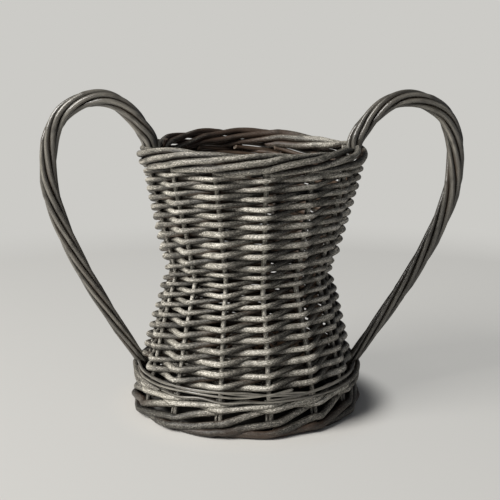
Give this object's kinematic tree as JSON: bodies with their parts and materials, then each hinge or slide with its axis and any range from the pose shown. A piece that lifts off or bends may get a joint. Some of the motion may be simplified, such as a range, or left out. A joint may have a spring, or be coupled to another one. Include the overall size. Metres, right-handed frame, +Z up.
{
  "type": "wine bottle basket",
  "caption": "Hourglass basket of weathered grey willow for a wine bottle, with rolled borders and tall looped roped handles from rim to foot.",
  "frame": {"origin": "middle of the overall box, on the ground under the basket", "axes": "+X from the left handle to the right handle as seen from the front, +Y from the front to the back, +Z up"},
  "size_m": [0.2876, 0.1614, 0.2173],
  "materials": {
    "stake_willow": "weathered, dry, matt",
    "weaver_willow": "weathered, dry, matt",
    "wale_willow": "weathered, dry, matt",
    "handle_willow": "worn smooth, satin",
    "base_stick_willow": "brown, matt",
    "base_weaver_willow": "brown-grey, matt"
  },
  "bodies": {
    "root": {"stake_01": "stake_willow", "stake_02": "stake_willow", "stake_03": "stake_willow", "stake_04": "stake_willow", "stake_05": "stake_willow", "stake_06": "stake_willow", "stake_07": "stake_willow", "stake_08": "stake_willow", "stake_09": "stake_willow", "stake_10": "stake_willow", "stake_11": "stake_willow", "stake_12": "stake_willow", "stake_13": "stake_willow", "stake_14": "stake_willow", "lower_weaver_01": "weaver_willow", "lower_weaver_02": "weaver_willow", "lower_weaver_03": "weaver_willow", "lower_weaver_04": "weaver_willow", "lower_weaver_05": "weaver_willow", "lower_weaver_06": "weaver_willow", "lower_weaver_07": "weaver_willow", "lower_weaver_08": "weaver_willow", "lower_weaver_09": "weaver_willow", "lower_weaver_10": "weaver_willow", "lower_weaver_11": "weaver_willow", "lower_weaver_12": "weaver_willow", "lower_weaver_13": "weaver_willow", "lower_weaver_14": "weaver_willow", "upper_weaver_01": "weaver_willow", "upper_weaver_02": "weaver_willow", "upper_weaver_03": "weaver_willow", "upper_weaver_04": "weaver_willow", "upper_weaver_05": "weaver_willow", "upper_weaver_06": "weaver_willow", "upper_weaver_07": "weaver_willow", "upper_weaver_08": "weaver_willow", "upper_weaver_09": "weaver_willow", "upper_weaver_10": "weaver_willow", "upper_weaver_11": "weaver_willow", "upper_weaver_12": "weaver_willow", "upper_weaver_13": "weaver_willow", "upper_weaver_14": "weaver_willow", "foot_wale": "wale_willow", "right_handle_rod_1": "handle_willow", "right_handle_rod_2": "handle_willow", "right_handle_rod_3": "handle_willow", "right_handle_rod_4": "handle_willow", "left_handle_rod_1": "handle_willow", "left_handle_rod_2": "handle_willow", "left_handle_rod_3": "handle_willow", "left_handle_rod_4": "handle_willow", "base_long_stick_1": "base_stick_willow", "base_long_stick_2": "base_stick_willow", "base_long_stick_3": "base_stick_willow", "base_long_stick_4": "base_stick_willow", "base_cross_stick_1": "base_stick_willow", "base_cross_stick_2": "base_stick_willow", "base_cross_stick_3": "base_stick_willow", "base_weaver_1": "base_weaver_willow", "base_weaver_2": "base_weaver_willow"}
  },
  "joints": []
}
